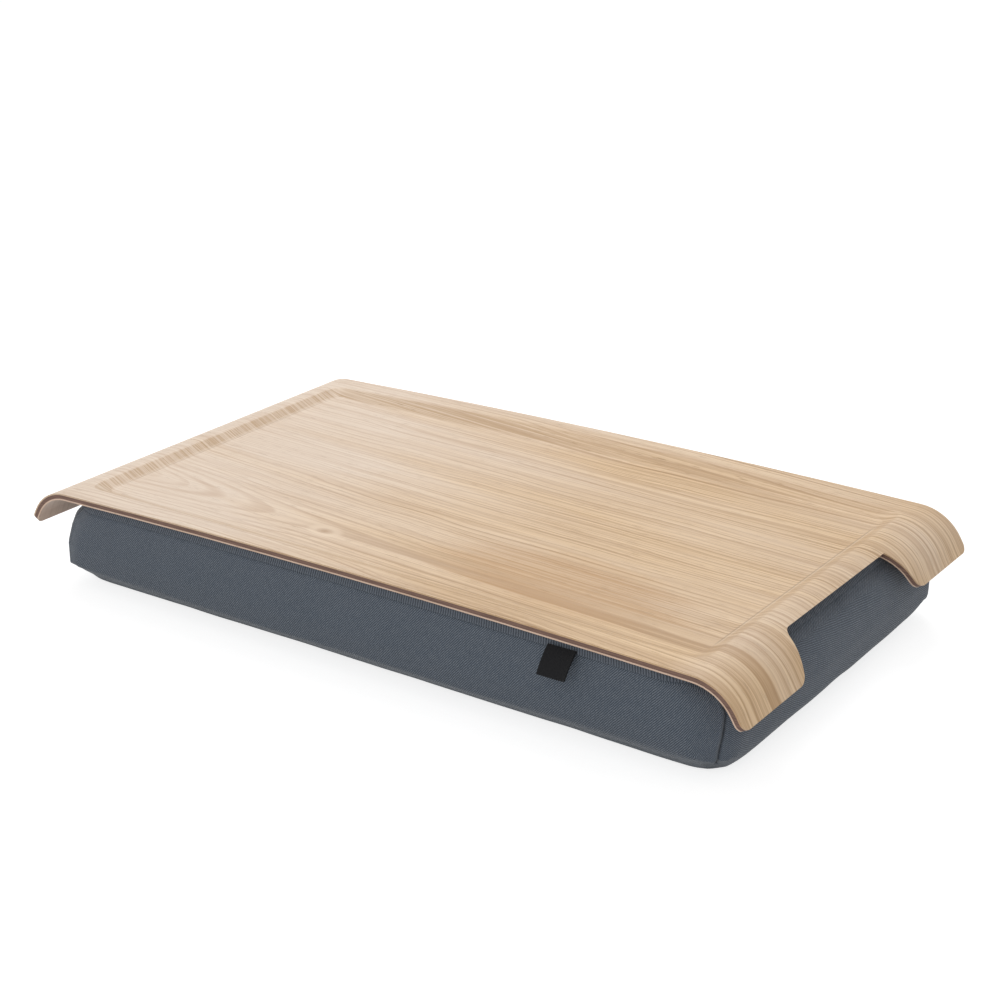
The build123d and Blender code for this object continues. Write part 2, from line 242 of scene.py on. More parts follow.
def new_group(name, inputs, outputs):
    """An empty shader node group: its inputs with their first values, and the names of its outputs."""
    made = bpy.data.node_groups.new(name, "ShaderNodeTree")
    for label, start in inputs.items():
        kind = "NodeSocketVector" if isinstance(start, tuple) else "NodeSocketFloat"
        made.interface.new_socket(label, in_out="INPUT", socket_type=kind).default_value = start
    for label in outputs:
        made.interface.new_socket(label, in_out="OUTPUT", socket_type="NodeSocketFloat")
    return made, made.nodes.new("NodeGroupInput").outputs, made.nodes.new("NodeGroupOutput")


def give(tree, result, **values):
    """Joins the values to the group's outputs of those names."""
    for label, value in values.items():
        tree.links.new(value, result.inputs[label])


# Where a point lies on the flat sheet before pressing: along the grain and across it
sheet_group, given, result = new_group("place_on_sheet", {"Turn": 0.0}, ("Along", "Across"))
g = sheet_group
x, y, z = place_parts(g)
past_start = reckon(g, "MAXIMUM", minus(g, reckon(g, "ABSOLUTE", x), curl_centre_x), 0.0)
above_centre = reckon(g, "MAXIMUM", minus(g, z, curl_centre_z), 0.001)
round_curl = times(g, reckon(g, "ARCTAN2", past_start, above_centre), curl_radius)
flat_part = reckon(g, "MINIMUM", reckon(g, "ABSOLUTE", x), curl_centre_x)
run = times(g, plus(g, flat_part, round_curl), reckon(g, "SIGN", x))
cosine = reckon(g, "COSINE", given["Turn"])
sine = reckon(g, "SINE", given["Turn"])
give(
    g,
    result,
    Along=minus(g, times(g, run, cosine), times(g, y, sine)),
    Across=plus(g, times(g, run, sine), times(g, y, cosine)),
)

# The figure of a flat-cut sheet: rings sliced near the pith, fine fibres and open pores
figure_group, given, result = new_group(
    "flat_cut_figure",
    {
        "Along": 0.0,
        "Across": 0.0,
        "Pith Across": 0.0,
        "Pith Depth": 0.03,
        "Pith Slope": 0.1,
        "Slope End": 0.0,
        "Ring Width": 0.0034,
        "Shift": 0.0,
    },
    ("Ring", "Fibre", "Band", "Pore", "Tone"),
)
g = figure_group
along, across = given["Along"], given["Across"]
moved = plus(g, along, given["Shift"])
long_wave = minus(g, streaks(g, moved, across, 6.0, 16.0, 2.0), 0.5)
short_wave = minus(g, streaks(g, moved, across, 24.0, 130.0, 2.0, 5.0), 0.5)
from_pith = plus(
    g,
    minus(g, across, given["Pith Across"]),
    plus(g, times(g, long_wave, 0.016), times(g, short_wave, 0.0016)),
)
before_end = reckon(g, "SMOOTH_MAX", minus(g, given["Slope End"], along), 0.0, 0.06)
depth = minus(g, given["Pith Depth"], times(g, before_end, given["Pith Slope"]))
reach = reckon(g, "SQRT", plus(g, times(g, from_pith, from_pith), times(g, depth, depth)))
uneven = place_node(
    g, "ShaderNodeTexNoise", {"noise_dimensions": "1D"}, W=reach, Scale=90.0, Detail=2.0, Roughness=0.6
).outputs[0]
ring_count = plus(g, reckon(g, "DIVIDE", reach, given["Ring Width"]), times(g, uneven, 2.6))
ring_part = reckon(g, "FRACT", ring_count)
late_wood = times(g, fade(g, ring_part, 0.46, 0.88), fade(g, ring_part, 0.90, 1.0, 1.0, 0.0))
ring_share = place_node(
    g, "ShaderNodeTexWhiteNoise", {"noise_dimensions": "1D"}, W=reckon(g, "FLOOR", ring_count)
).outputs["Value"]
broken = fade(g, streaks(g, moved, across, 12.0, 420.0, 2.0, 9.0), 0.25, 0.65, 0.45, 1.0)
ring_depth = times(g, scaled(g, ring_share, 0.6, 0.4), broken)
pore_noise = streaks(g, moved, across, 90.0, 2100.0, 1.0, 3.0)
give(
    g,
    result,
    Ring=times(g, late_wood, ring_depth),
    Fibre=streaks(g, moved, across, 7.0, 900.0, 4.0, 2.0),
    Band=streaks(g, moved, across, 3.5, 150.0, 2.0, 4.0),
    Pore=times(g, fade(g, pore_noise, 0.62, 0.76), fade(g, ring_part, 0.0, 0.7, 1.0, 0.35)),
    Tone=streaks(g, moved, across, 4.0, 26.0, 3.0, 7.0),
)


def grouped(tree, group, **sockets):
    """Places a group and sets or joins the sockets that are named."""
    return place_node(tree, "ShaderNodeGroup", {"node_tree": group}, **sockets).outputs


def finish_surface(tree, colour, roughness, height, distance, strength, **sockets):
    """Finishes a material: colour, roughness, and a relief so many metres deep from a height of 0 to 1."""
    relief = place_node(tree, "ShaderNodeBump", Height=height, Distance=distance, Strength=strength)
    surface = place_node(
        tree,
        "ShaderNodeBsdfPrincipled",
        Base_Color=colour,
        Roughness=roughness,
        Normal=relief.outputs["Normal"],
        **sockets,
    )
    tree.links.new(surface.outputs[0], tree.nodes.new("ShaderNodeOutputMaterial").inputs["Surface"])


def paint_nodes(material, *names):
    """Gives CAD nodes their material."""
    for name in names:
        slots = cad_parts[name].data.materials
        slots.clear()
        slots.append(material)


def oval_reach(tree, sheet, along, across, half_length, half_width):
    """The square of a point's distance from an oval's centre on the sheet, 1 at the oval's edge."""
    x = reckon(tree, "DIVIDE", minus(tree, sheet["Along"], along), half_length)
    y = reckon(tree, "DIVIDE", minus(tree, sheet["Across"], across), half_width)
    return plus(tree, times(tree, x, x), times(tree, y, y))


# Face veneer, pinkish and pale at the left end, warmer to the right and paler again high on the right bend,
# with a small knot and a golden cloud near the front. The pale top of the bend is partly the veneer's own
# tone and partly painted light, which fades out lower down the bend.
knot_along = -0.0461
knot_across = -0.0818
cloud_along = 0.095
cloud_across = -0.060
face_wood, tree = material_with_nodes("ash_face")
sheet = grouped(tree, sheet_group, Turn=grain_turn)
knot_reach = reckon(tree, "SQRT", oval_reach(tree, sheet, knot_along, knot_across, 0.014, 0.0085))
knot_pull = times(tree, fade(tree, knot_reach, 0.0, 1.0, 1.0, 0.0), -0.75)
round_knot = times(tree, minus(tree, sheet["Across"], knot_across), knot_pull)
figure = grouped(
    tree,
    figure_group,
    Along=sheet["Along"],
    Across=plus(tree, sheet["Across"], round_knot),
    Pith_Across=-0.079,
    Pith_Depth=0.026,
    Pith_Slope=0.115,
    Slope_End=-0.062,
    Ring_Width=0.0034,
)
ring, fibre, pore = figure["Ring"], figure["Fibre"], figure["Pore"]
warm_side = reckon(
    tree,
    "ADD",
    fade(tree, sheet["Along"], -0.19, 0.11, -0.05, 0.95),
    times(tree, minus(tree, figure["Tone"], 0.5), 1.6),
    clamp=True,
)
# Partly painted light: paler high on the right bend, fading back to warmer and darker lower down it.
pale_tone_and_painted_light_bend = times(
    tree,
    fade(tree, sheet["Along"], 0.190, 0.212),
    fade(tree, sheet["Along"], 0.216, 0.236, 0.35, 0.1),
)
warmth = minus(tree, warm_side, pale_tone_and_painted_light_bend)
early = colour_mix(tree, warmth, (0.83, 0.68, 0.54, 1), (0.785, 0.55, 0.315, 1))
late = colour_mix(tree, warmth, (0.54, 0.355, 0.225, 1), (0.42, 0.24, 0.10, 1))
contrast = scaled(tree, warm_side, 0.62, 0.60)
cloud_reach = plus(
    tree,
    oval_reach(tree, sheet, cloud_along, cloud_across, 0.075, 0.030),
    scaled(tree, figure["Band"], 2.4, -1.2),
)
cloud = times(tree, fade(tree, cloud_reach, 0.1, 1.5, 0.80, 0.0), fade(tree, fibre, 0.36, 0.64, 0.55, 1.0))
halo = times(tree, fade(tree, knot_reach, 0.25, 0.5), fade(tree, knot_reach, 0.6, 1.0, 0.45, 0.0))
wood = tinted(
    tree,
    early,
    (times(tree, fade(tree, figure["Band"], 0.42, 0.68, 0.0, 0.32), contrast), late),
    (times(tree, ring, times(tree, contrast, 0.95)), late),
    (times(tree, fade(tree, fibre, 0.44, 0.68, 0.0, 0.5), contrast), late),
    (cloud, (0.50, 0.27, 0.095, 1)),
    (times(tree, pore, 0.6), (0.27, 0.155, 0.085, 1)),
    (halo, (0.90, 0.72, 0.53, 1)),
    (fade(tree, knot_reach, 0.04, 0.30, 0.70, 0.0), (0.46, 0.28, 0.15, 1)),
)

# Painted light and shade at the crease where the pressed floor turns up into the step at each end: a dark
# line of painted shade in the crease, with a painted pale highlight beside it on the step's face
spot = place_parts(tree)
end_reach = reckon(tree, "ABSOLUTE", spot[0])
side_reach = reckon(tree, "ABSOLUTE", spot[1])
painted_crease_span = times(
    tree, fade(tree, side_reach, 0.080, 0.090, 1.0, 0.0), fade(tree, spot[0], -0.1, 0.1, 0.3, 1.0)
)
# First a painted dark line of shade in the crease, then a painted pale highlight on the step's face.
for line_offset, painted_crease_colour, painted_crease_share in (
    (0.0004, (0.28, 0.17, 0.095, 1), 0.50),
    (0.0016, (0.88, 0.72, 0.54, 1), 0.45),
):
    off_line = reckon(tree, "ABSOLUTE", minus(tree, end_reach, floor_half_length + line_offset))
    painted_crease_mark = times(tree, fade(tree, off_line, 0.0001, 0.0009, painted_crease_share, 0.0), painted_crease_span)
    wood = colour_mix(tree, painted_crease_mark, wood, painted_crease_colour)

# Painted shade on the step's slope, which turns from the light: darker and more golden in stripes of the
# grain, strongest at the left end. The cut edges are a darker tan, their own colour.
facing = place_parts(tree, "Normal")
inside_rim = times(
    tree, fade(tree, end_reach, 0.2045, 0.2090, 1.0, 0.0), fade(tree, side_reach, 0.1165, 0.1200, 1.0, 0.0)
)
painted_shade_on_slope = times(tree, fade(tree, facing[2], 0.995, 0.92), inside_rim)
slope_shade_stripes = times(
    tree,
    scaled(tree, fade(tree, fibre, 0.40, 0.60), 0.30, 0.20),
    fade(tree, spot[0], -0.15, 0.15, 1.5, 0.9),
)
side_edge = fade(tree, reckon(tree, "ABSOLUTE", facing[1]), 0.75, 0.85)
cut_edge = reckon(tree, "MAXIMUM", side_edge, fade(tree, facing[2], -0.2, -0.4))
# Painted shade on the step's slope; the cut edges' darker tan is their own colour.
wood = tinted(
    tree,
    wood,
    (times(tree, painted_shade_on_slope, slope_shade_stripes), (0.46, 0.285, 0.135, 1)),
    (times(tree, cut_edge, 0.6), (0.52, 0.34, 0.19, 1)),
)
relief = minus(tree, plus(tree, times(tree, ring, 0.5), times(tree, fibre, 0.35)), times(tree, pore, 0.7))
roughness = plus(tree, times(tree, pore, 0.2), scaled(tree, fibre, 0.12, 0.36))
finish_surface(tree, wood, roughness, relief, 0.00022, 0.8)
paint_nodes(face_wood, "tray_top_veneer")

# Core veneer, dark brown, seen only along the cut edges as a line with fine streaks
core_wood, tree = material_with_nodes("dark_core")
sheet = grouped(tree, sheet_group, Turn=0.0)
over_edge = plus(tree, place_parts(tree)[2], sheet["Across"])
edge_streak = streaks(tree, sheet["Along"], over_edge, 60.0, 2600.0, 3.0)
brown = colour_mix(tree, fade(tree, edge_streak, 0.3, 0.7), (0.115, 0.062, 0.045, 1), (0.235, 0.135, 0.10, 1))
finish_surface(tree, brown, 0.7, edge_streak, 0.0001, 0.6)
paint_nodes(core_wood, "tray_core")

# Back veneer, thin and pale, the side that faces the cushion
back_wood, tree = material_with_nodes("ash_back")
sheet = grouped(tree, sheet_group, Turn=grain_turn)
figure = grouped(
    tree,
    figure_group,
    Along=sheet["Along"],
    Across=sheet["Across"],
    Pith_Across=0.21,
    Pith_Depth=0.02,
    Pith_Slope=0.02,
    Ring_Width=0.0036,
    Shift=1.7,
)
pale = tinted(
    tree,
    colour_mix(tree, figure["Tone"], (0.73, 0.53, 0.41, 1), (0.66, 0.47, 0.35, 1)),
    (times(tree, figure["Ring"], 0.5), (0.50, 0.33, 0.21, 1)),
    (times(tree, figure["Pore"], 0.35), (0.36, 0.22, 0.12, 1)),
)
roughness = scaled(tree, figure["Fibre"], 0.12, 0.42)
finish_surface(tree, pale, roughness, figure["Fibre"], 0.0001, 0.6)
paint_nodes(back_wood, "tray_bottom_veneer")

# The cushion's cover
# Slate-grey twill sewn as a box with rounded corners, full of beads, widest low down and drawn in to the
# hem above. The seams stand at the four corners and run round the bottom. It is pressed flat where the
# tray rests on it and where it stands.
cushion_half_length = 0.221
cushion_half_width = 0.126
cushion_corner = 0.026
cushion_bow = 0.002
cushion_height = 0.060
cushion_inset = 0.022
form_heights = (0.0, 0.02, 0.06, 0.13, 0.23, 0.43, 0.60, 0.74, 0.84, 1.0)
form_end_shares = (0.62, 0.40, 0.31, 0.19, 0.07, 0.0, 0.07, 0.30, 0.60, 0.85)
form_side_shares = (0.86, 0.62, 0.48, 0.28, 0.10, 0.0, 0.03, 0.06, 0.10, 0.14)
form_corner_shares = (0.42, 0.45, 0.48, 0.53, 0.62, 0.88, 1.0, 1.0, 1.0, 1.0)
hem_line_drop = 0.0093
pressed_height = 0.0491
edge_arch_radius = 7.7
tray_height = 0.062


def form_sizes(height):
    """Half the length, half the width and the corner radius of the stuffed form at a height."""
    share = height / cushion_height
    return (
        cushion_half_length - cushion_inset * float(np.interp(share, form_heights, form_end_shares)),
        cushion_half_width - cushion_inset * float(np.interp(share, form_heights, form_side_shares)),
        cushion_corner * float(np.interp(share, form_heights, form_corner_shares)),
    )


def under_arch(x, drop):
    """The height of a line that follows the tray's arched edge so far below its face."""
    over = max(abs(x) - curl_centre_x, 0.0)
    inner = curl_radius - drop
    curl_drop = inner - math.sqrt(max(inner * inner - over * over, 0.0))
    return tray_height - drop - min(abs(x), curl_centre_x) ** 2 / (2 * edge_arch_radius) - curl_drop


def select_only(piece):
    """Makes piece the only selected and the active object."""
    bpy.ops.object.select_all(action="DESELECT")
    piece.select_set(True)
    bpy.context.view_layer.objects.active = piece


def plain_shape(add, name, stretch=(1, 1, 1), **settings):
    """A piece in its first, plain shape, stretched, with its origin, turn and scale applied."""
    made = new_piece(add, name, **settings)
    made.scale = stretch
    bpy.ops.object.transform_apply(location=True, rotation=True, scale=True)
    return made


def open_where(piece, test):
    """Opens piece for editing with only those of its faces selected that pass the test."""
    select_only(piece)
    scene.tool_settings.mesh_select_mode = (False, False, True)
    for kind in (piece.data.vertices, piece.data.edges):
        kind.foreach_set("select", [False] * len(kind))
    for face in piece.data.polygons:
        face.select = test(face)
    bpy.ops.object.mode_set(mode="EDIT")


def apply_modifier(piece, kind, **settings):
    """Gives piece a modifier of a kind with those settings, and applies it."""
    made = piece.modifiers.new(kind.lower(), kind)
    for setting, value in settings.items():
        setattr(made, setting, value)
    select_only(piece)
    bpy.ops.object.modifier_apply(modifier=made.name)


def unit(value):
    """A value kept between 0 and 1."""
    return min(max(value, 0.0), 1.0)


def stuffed_form(name, inset, top):
    """A closed box of the cushion's form: a rounded outline extruded and scaled up through its sections."""
    floor_inset = inset * 0.4
    heights = [share * cushion_height for share in form_heights[:-2]] + [top]
    half_length, half_width, corner = form_sizes(0.0)
    made = plain_shape(
        bpy.ops.mesh.primitive_plane_add,
        name,
        (2 * (half_length - inset), 2 * (half_width - inset), 1),
        size=1,
        location=(0, 0, floor_inset),
    )
    bpy.ops.object.mode_set(mode="EDIT")
    bpy.ops.mesh.select_mode(type="VERT")
    bpy.ops.mesh.select_all(action="SELECT")
    bpy.ops.mesh.bevel(offset=corner, segments=8, affect="VERTICES")
    bpy.ops.mesh.select_all(action="SELECT")
    low = (half_length - inset, half_width - inset, floor_inset)
    for height in heights[1:]:
        half_length, half_width, corner = form_sizes(height)
        new = (half_length - inset, half_width - inset, height + floor_inset * (1 - height / top))
        bpy.ops.mesh.extrude_region_move(TRANSFORM_OT_translate={"value": (0, 0, new[2] - low[2])})
        bpy.ops.transform.resize(value=(new[0] / low[0], new[1] / low[1], 1), center_override=(0, 0, new[2]))
        low = new
    bpy.ops.mesh.select_all(action="SELECT")
    bpy.ops.mesh.normals_make_consistent(inside=False)
    bpy.ops.object.mode_set(mode="OBJECT")
    return made


def outline_gap(x, y, half_length, half_width, corner):
    """How far a point lies outside the rounded outline, less than zero inside, and the way out."""
    half_length -= cushion_bow * min(abs(y) / half_width, 1.0) ** 2
    half_width -= cushion_bow * min(abs(x) / half_length, 1.0) ** 2
    past_x = abs(x) - (half_length - corner)
    past_y = abs(y) - (half_width - corner)
    if past_x > 0 and past_y > 0:
        reach = math.hypot(past_x, past_y)
        return reach - corner, Vector((math.copysign(past_x / reach, x), math.copysign(past_y / reach, y)))
    if past_x > past_y:
        return past_x - corner, Vector((math.copysign(1, x), 0))
    return past_y - corner, Vector((0, math.copysign(1, y)))


cloth_grid = {"mode": "VOXEL", "voxel_size": 0.005}
once_rounded = {"levels": 1, "render_levels": 1}
cover = stuffed_form("cushion_cover", 0.003, 0.0560)
apply_modifier(cover, "REMESH", **cloth_grid)
before_filling = [vertex.co.copy() for vertex in cover.data.vertices]

stuffing = cover.modifiers.new("stuffing", "CLOTH")
cloth = stuffing.settings
cloth.quality = 6
cloth.mass = 0.2
cloth.tension_stiffness = 12
cloth.compression_stiffness = 8
cloth.bending_stiffness = 0.4
cloth.use_pressure = True
cloth.uniform_pressure_force = 4.0
cloth.effector_weights.gravity = 0
for moment in range(1, 21):
    scene.frame_set(moment)
select_only(cover)
bpy.ops.object.modifier_apply(modifier=stuffing.name)

most_swell = 0.006
for vertex, start in zip(cover.data.vertices, before_filling):
    move = vertex.co - start
    if move.length > most_swell:
        move = move.normalized() * most_swell
    move.z = max(move.z, -0.1 * start.z)
    vertex.co = start + move
apply_modifier(cover, "SUBSURF", **once_rounded)

# The filled cloth stays close to the form, is drawn in under the hem, and lies flat where it stands and
# where the tray rests on it
most_out = 0.0006
most_in = 0.0012
form_reach = 0.012
hem_tuck = 0.0020
crest_over_hem = 0.003
rest_half_length = 0.1955
rest_half_width = 0.109
rest_corner = 0.012
rest_blend = 0.010
slopes = [abs(vertex.normal.z) for vertex in cover.data.vertices]
for vertex, slope in zip(cover.data.vertices, slopes):
    point = vertex.co
    sideways = unit(2.2 - 2.4 * slope)
    hem_line = under_arch(point.x, hem_line_drop)
    crest = hem_line + crest_over_hem
    gap, outward = outline_gap(point.x, point.y, *form_sizes(min(max(point.z, 0.0), crest)))
    if point.z > hem_line:
        gap += hem_tuck * min((point.z - hem_line) / 0.001, 1.0)
    near_hem = min(max((hem_line - point.z) / 0.012, 0.15), 1.0)
    if gap > most_out * near_hem:
        move = most_out * near_hem - gap
    elif -form_reach < gap < -most_in * near_hem:
        move = (-most_in * near_hem - gap) * sideways
    else:
        move = 0.0
    point.x += outward.x * move
    point.y += outward.y * move
    if point.z < 0.005:
        point.z -= min(max(point.z, 0.0), 0.003) * unit((-gap - 0.003) / 0.004)
    point.z = max(point.z, 0.0)
    if point.z > 0.040:
        inner_gap = outline_gap(point.x, point.y, rest_half_length, rest_half_width, rest_corner)[0]
        limit = pressed_height + (crest - pressed_height) * min(max(inner_gap, 0.0) / rest_blend, 1.0)
        point.z = min(point.z, limit)

# The bottom edge is soft, so it is eased before the seams are drawn
open_where(cover, lambda face: face.center.z < 0.013)
bpy.ops.mesh.vertices_smooth(factor=0.5, repeat=7)
bpy.ops.object.mode_set(mode="OBJECT")

# The slot for the zip in the back panel, cut through to a shallow bay behind the tapes
zip_height = 0.031
zip_half_length = 0.131
zip_slot_half_height = 0.005
slot_y = 0.1300
slot_depth = 0.0220
slot_cutter = plain_shape(
    bpy.ops.mesh.primitive_cube_add,
    "slot_cutter",
    (2 * zip_half_length, slot_depth, 2 * zip_slot_half_height),
    size=1,
    location=(0, slot_y, zip_height),
)
apply_modifier(slot_cutter, "BEVEL", width=0.002)
apply_modifier(cover, "BOOLEAN", object=slot_cutter, operation="DIFFERENCE", solver="EXACT")
bpy.data.objects.remove(slot_cutter)

# The seams: one down each rounded corner, drifting towards the end panel lower down, and one round the
# bottom. The mesh is made finer beside them, the stitched line drawn in, and the folded allowance raised.
bottom_seam_height = 0.0020
seam_heights = (0.004, 0.010, 0.020, 0.030, 0.040, 0.052)
seam_degrees = (50.0, 48.0, 42.0, 35.0, 30.0, 27.0)
left_seam_degrees = 56.0
off_seam = 1.0
hem_level = 0.0525


def off_corner_seam(point):
    """How far a point lies from its corner's seam round the corner, more than zero towards the long side."""
    half_length, half_width, corner = form_sizes(point.z)
    past_x = abs(point.x) - (half_length - corner)
    past_y = abs(point.y) - (half_width - corner)
    reach = math.hypot(past_x, past_y)
    if past_x < -0.005 or past_y < -0.005 or reach < corner - 0.006:
        return off_seam
    degrees = float(np.interp(point.z, seam_heights, seam_degrees)) if point.x > 0 else left_seam_degrees
    return (math.atan2(past_y, past_x) - math.radians(degrees)) * reach


def off_bottom_seam(point):
    """How far a point of the side lies above the bottom seam, along the cloth."""
    gap = outline_gap(point.x, point.y, *form_sizes(max(point.z, 0.0)))[0]
    return (point.z - bottom_seam_height) * 1.6 if gap > -0.006 else off_seam


def near_seam(face, width):
    """Whether a face lies within width of a seam."""
    if face.center.z > hem_level or abs(face.normal.z) > 0.93:
        return False
    return abs(off_corner_seam(face.center)) < width or abs(off_bottom_seam(face.center)) < width


def bell(off, width):
    """1 on a line, falling off smoothly over about width beside it."""
    return math.exp(-((off / width) ** 2))


for width in (0.0075, 0.005):
    open_where(cover, lambda face: near_seam(face, width))
    bpy.ops.mesh.subdivide(number_cuts=1, smoothness=0)
    bpy.ops.object.mode_set(mode="OBJECT")

stitch_length = 0.0028
groove_depth = 0.0011
bottom_groove_depth = 0.00040
corner_pucker_depth = 0.0011
ridge_height = 0.00050
bottom_ridge_height = 0.00012
gather_height = 0.00035
unevenness = 0.00030
seam_shade = cover.data.attributes.new("seam_shade", "FLOAT", "POINT")
normals = [vertex.normal.copy() for vertex in cover.data.vertices]
for vertex, normal in zip(cover.data.vertices, normals):
    point = vertex.co
    in_slot = point.y > 0 and abs(point.z - zip_height) < 0.0065 and abs(point.x) < 0.1330
    if point.z > hem_level or abs(normal.z) > 0.95 or in_slot:
        continue
    corner_off = off_corner_seam(point)
    bottom_off = off_bottom_seam(point)
    # Painted shade: darker along each corner seam's groove, faintly along the bottom seam, and in the pucker
    # where they meet.
    seam_shade.data[vertex.index].value = max(
        bell(corner_off, 0.0006) * unit(bottom_off / 0.002 + 1),
        0.25 * bell(bottom_off, 0.0005),
        bell(corner_off, 0.0014) * bell(bottom_off - 0.001, 0.0016),
    )
    lift = 0.0
    if abs(corner_off) < 0.012 and bottom_off > -0.001:
        stitches = 0.85 + 0.15 * math.cos(point.z * 2 * math.pi / stitch_length)
        lift -= groove_depth * stitches * bell(corner_off, 0.0008)
        lift += ridge_height * bell(corner_off - 0.0022, 0.0013)
    if abs(bottom_off) < 0.008:
        lift -= bottom_groove_depth * bell(bottom_off, 0.0006)
        lift += bottom_ridge_height * bell(bottom_off - 0.0018, 0.0012)
        lift -= corner_pucker_depth * bell(corner_off, 0.0022) * bell(bottom_off - 0.001, 0.0022)
    if corner_off == off_seam or abs(corner_off) > 0.004:
        along = point.x if abs(normal.y) > abs(normal.x) else point.y
        gathers = Vector((along * 75.0, math.copysign(3.0, normal.x + normal.y), point.z * 8))
        lift += gather_height * unit((point.z - 0.012) / 0.030) * noise.noise(gathers)
        lift += unevenness * noise.noise(point * 32.0)
    vertex.co = point + normal * lift
    vertex.co.z = max(vertex.co.z, 0.0)

# Twill: steep cords of yarn at just under a millimetre, broken into short floats, in mottled slate yarns
twill_group, given, result = new_group(
    "slate_twill",
    {"Place": (0, 0, 0), "Cord X": 800.0, "Cord Y": -710.0, "Float X": 380.0, "Float Y": -670.0},
    ("Yarn", "Mottle", "Patch"),
)
g = twill_group
cloth_spot = place_node(g, "ShaderNodeSeparateXYZ", Vector=given["Place"]).outputs
u, v = cloth_spot[0], cloth_spot[1]


def wave(tree, turns):
    """A wave from 0 to 1 that comes round once a turn."""
    return scaled(tree, reckon(tree, "SINE", times(tree, turns, 2 * math.pi)), 0.5, 0.5)


def wave_across(tree, x_rate, y_rate, lean):
    """A wave from 0 to 1 over the cloth with so many turns to the metre."""
    return wave(tree, plus(tree, plus(tree, times(tree, u, x_rate), times(tree, v, y_rate)), lean))


def speckle(tree, place, scale, detail):
    """Even noise, from 0 to 1."""
    return place_node(tree, "ShaderNodeTexNoise", Vector=place, Scale=scale, Detail=detail).outputs[0]


lean = times(g, speckle(g, given["Place"], 160.0, 2.0), 0.8)
cords = wave_across(g, given["Cord X"], given["Cord Y"], lean)
floats = wave_across(g, given["Float X"], given["Float Y"], lean)
mottle_place = place_node(g, "ShaderNodeCombineXYZ", X=times(g, u, 900.0), Y=times(g, v, 260.0)).outputs[0]
mottle = place_node(g, "ShaderNodeTexNoise", Vector=mottle_place, Scale=1.0, Detail=3.0, Roughness=0.7)
give(
    g,
    result,
    Yarn=times(g, cords, scaled(g, floats, 0.45, 0.55)),
    Mottle=mottle.outputs[0],
    Patch=speckle(g, given["Place"], 38.0, 3.0),
)


def twill_material(name, cord_x, cord_y, float_x, float_y):
    """Slate twill whose cords run the way that the panel was cut, from the cloth's own place map."""
    made, tree = material_with_nodes(name)
    place = place_node(tree, "ShaderNodeUVMap", {"uv_map": "cloth_place"}).outputs[0]
    weave = grouped(
        tree, twill_group, Place=place, Cord_X=cord_x, Cord_Y=cord_y, Float_X=float_x, Float_Y=float_y
    )
    dark = colour_mix(tree, weave["Patch"], (0.040, 0.052, 0.070, 1), (0.056, 0.068, 0.088, 1))
    light_share = fade(tree, weave["Mottle"], 0.3, 0.7)
    light = colour_mix(tree, light_share, (0.122, 0.150, 0.190, 1), (0.192, 0.220, 0.258, 1))
    cloth = colour_mix(tree, fade(tree, weave["Yarn"], 0.05, 0.75), dark, light)
    # Painted shade along the seams, read from seam_shade.
    seam = place_node(tree, "ShaderNodeAttribute", {"attribute_name": "seam_shade"}).outputs["Fac"]
    cloth = colour_mix(tree, times(tree, seam, 0.85), cloth, (0.012, 0.015, 0.020, 1))
    finish_surface(
        tree,
        cloth,
        0.85,
        weave["Yarn"],
        0.00035,
        0.7,
        Sheen_Weight=0.25,
        Sheen_Roughness=0.5,
        Specular_IOR_Level=0.25,
    )
    return made


for part, rates in (
    ("sides", (800.0, -710.0, 380.0, -670.0)),
    ("ends", (560.0, 905.0, 130.0, 860.0)),
    ("flats", (710.0, 800.0, 670.0, 380.0)),
):
    cover.data.materials.append(twill_material("slate_twill_" + part, *rates))


def rise_along(height_shares):
    """The way up the form from the floor at heights a millimetre apart, along the cloth."""
    heights = np.linspace(0, cushion_height, 61)
    insets = cushion_inset * np.interp(heights / cushion_height, form_heights, height_shares)
    return heights, np.concatenate([[0.0], np.cumsum(np.hypot(np.diff(heights), np.diff(insets)))])


side_rise = rise_along(form_side_shares)
end_rise = rise_along(form_end_shares)


def panel_of(point, upward):
    """Which panel a point of the cover lies on: 0 front or back, 1 an end, 2 top or bottom."""
    if point.z < bottom_seam_height or (upward > 0.6 and point.z > 0.044):
        return 2
    corner_off = off_corner_seam(point)
    if corner_off != off_seam:
        return 0 if corner_off > 0 else 1
    half_length, half_width, corner = form_sizes(point.z)
    return 0 if abs(point.y) - half_width > abs(point.x) - half_length else 1


def cloth_place(point, panel):
    """A point's place on its flat panel: round the form from the panel's middle, and up its side."""
    if panel == 2:
        return point.x, point.y
    half_length, half_width, corner = form_sizes(max(point.z, 0.0))
    past_x, past_y = abs(point.x) - (half_length - corner), abs(point.y) - (half_width - corner)
    round_corner = past_x > 0 and past_y > 0
    turn = math.atan2(max(past_y, 0.0), max(past_x, 1e-9))
    if panel == 0:
        past_turn = math.pi / 2 - turn
        around = half_length - corner + cushion_corner * past_turn if round_corner else abs(point.x)
        return math.copysign(around, point.x), float(np.interp(point.z, *side_rise))
    around = half_width - corner + cushion_corner * turn if round_corner else abs(point.y)
    return math.copysign(around, point.y), float(np.interp(point.z, *end_rise))


cloth_map = cover.data.uv_layers.new(name="cloth_place")
for face in cover.data.polygons:
    panel = panel_of(face.center, face.normal.z)
    face.material_index = panel
    for corner in face.loop_indices:
        point = cover.data.vertices[cover.data.loops[corner].vertex_index].co
        cloth_map.data[corner].uv = cloth_place(point, panel)
select_only(cover)
bpy.ops.object.shade_smooth()
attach(cover, "cushion")
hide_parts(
    "cover_front_panel",
    "cover_back_panel",
    "cover_left_end",
    "cover_right_end",
    "cover_bottom_panel",
    "cover_top_panel",
)

